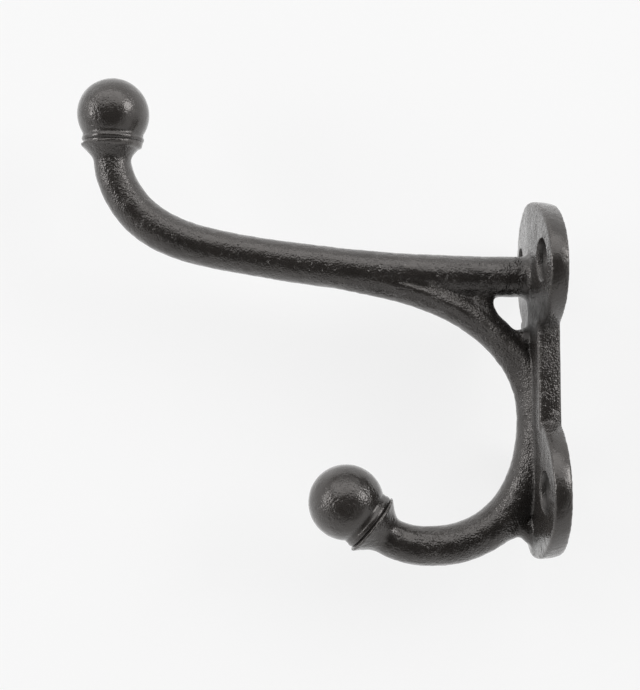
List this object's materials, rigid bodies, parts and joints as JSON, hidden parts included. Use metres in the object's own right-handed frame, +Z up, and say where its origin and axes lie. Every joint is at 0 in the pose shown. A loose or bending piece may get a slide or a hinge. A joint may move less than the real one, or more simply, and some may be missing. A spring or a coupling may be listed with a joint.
{
  "type": "harness hook",
  "caption": "Cast iron wall hook: an oval-eared plate with screw holes, a long arm that turns up to a ball, and a lower hook that curls out to another ball.",
  "frame": {"origin": "middle of the screw-hole pattern, on the plate's flat back face", "axes": "+Y into the wall, out of the plate's back; +Z up; X across the plate, with the casting symmetric about X = 0"},
  "size_m": [0.0488, 0.1174, 0.1231],
  "materials": {
    "iron": "sand-cast, dark satin, gritty skin with smoother balls"
  },
  "bodies": {
    "root": {"harness_hook": "iron"}
  },
  "joints": []
}
